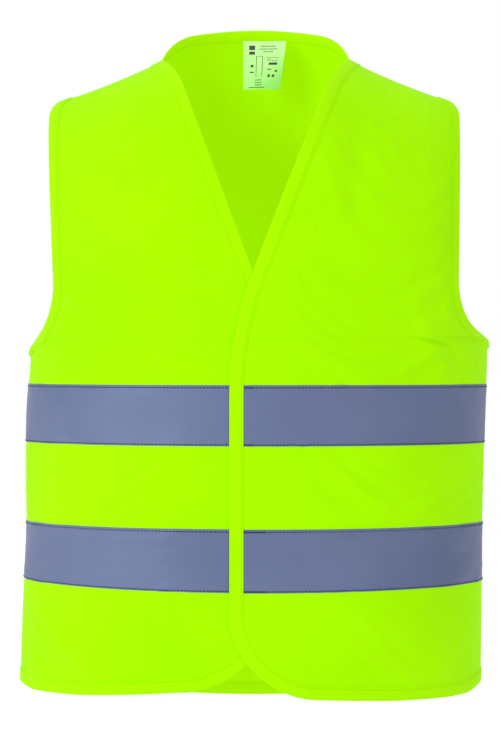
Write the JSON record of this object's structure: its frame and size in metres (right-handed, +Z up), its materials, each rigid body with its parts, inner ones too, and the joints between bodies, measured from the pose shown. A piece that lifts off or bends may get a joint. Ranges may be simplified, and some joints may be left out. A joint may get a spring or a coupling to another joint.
{
  "type": "high visibility vest",
  "caption": "Sleeveless V-neck safety vest with two reflective bands round the body and overlapping fronts that swing open from the side seams.",
  "frame": {"origin": "midway between the two points where the shoulder seams meet the neck", "axes": "+Z up, the front faces -Y, +X is the wearer's left"},
  "size_m": [0.4026, 0.2407, 0.6005],
  "materials": {
    "cloth": "matte",
    "binding": "matte",
    "seam": "matte",
    "reflective_tape": "satin",
    "hooks": "matte",
    "loops": "matte",
    "label": "matte"
  },
  "bodies": {
    "back": {"back_panel": "cloth", "back_neck_binding": "binding", "back_hem_binding": "binding", "left_armhole_back_binding": "binding", "right_armhole_back_binding": "binding", "back_upper_tape": "reflective_tape", "back_lower_tape": "reflective_tape", "left_shoulder_seam": "seam", "right_shoulder_seam": "seam", "left_side_seam": "seam", "right_side_seam": "seam"},
    "left_front": {"left_front_panel": "cloth", "left_front_edge_binding": "binding", "left_armhole_front_binding": "binding", "left_front_upper_tape": "reflective_tape", "left_front_lower_tape": "reflective_tape", "upper_hook_patch": "hooks", "lower_hook_patch": "hooks"},
    "right_front": {"right_front_panel": "cloth", "right_front_edge_binding": "binding", "right_armhole_front_binding": "binding", "right_front_upper_tape": "reflective_tape", "right_front_lower_tape": "reflective_tape", "upper_loop_patch": "loops", "lower_loop_patch": "loops"},
    "label": {"neck_label": "label"}
  },
  "joints": [
    {"name": "left_front_swing", "type": "hinge", "parent": "back", "child": "left_front", "pos_m": [0.2004, 0, 0], "axis": [0, 0, 1], "range_deg": [0, 75]},
    {"name": "right_front_swing", "type": "hinge", "parent": "back", "child": "right_front", "pos_m": [-0.2004, 0, 0], "axis": [0, 0, 1], "range_deg": [-60, 0]},
    {"name": "label_flip", "type": "hinge", "parent": "back", "child": "label", "pos_m": [0.0105, 0.04505, 0.0255], "axis": [-1, 0, 0], "range_deg": [0, 120]}
  ],
  "couplings": [
    {"joint": "right_front_swing", "follows": "left_front_swing", "ratio": -0.8}
  ]
}
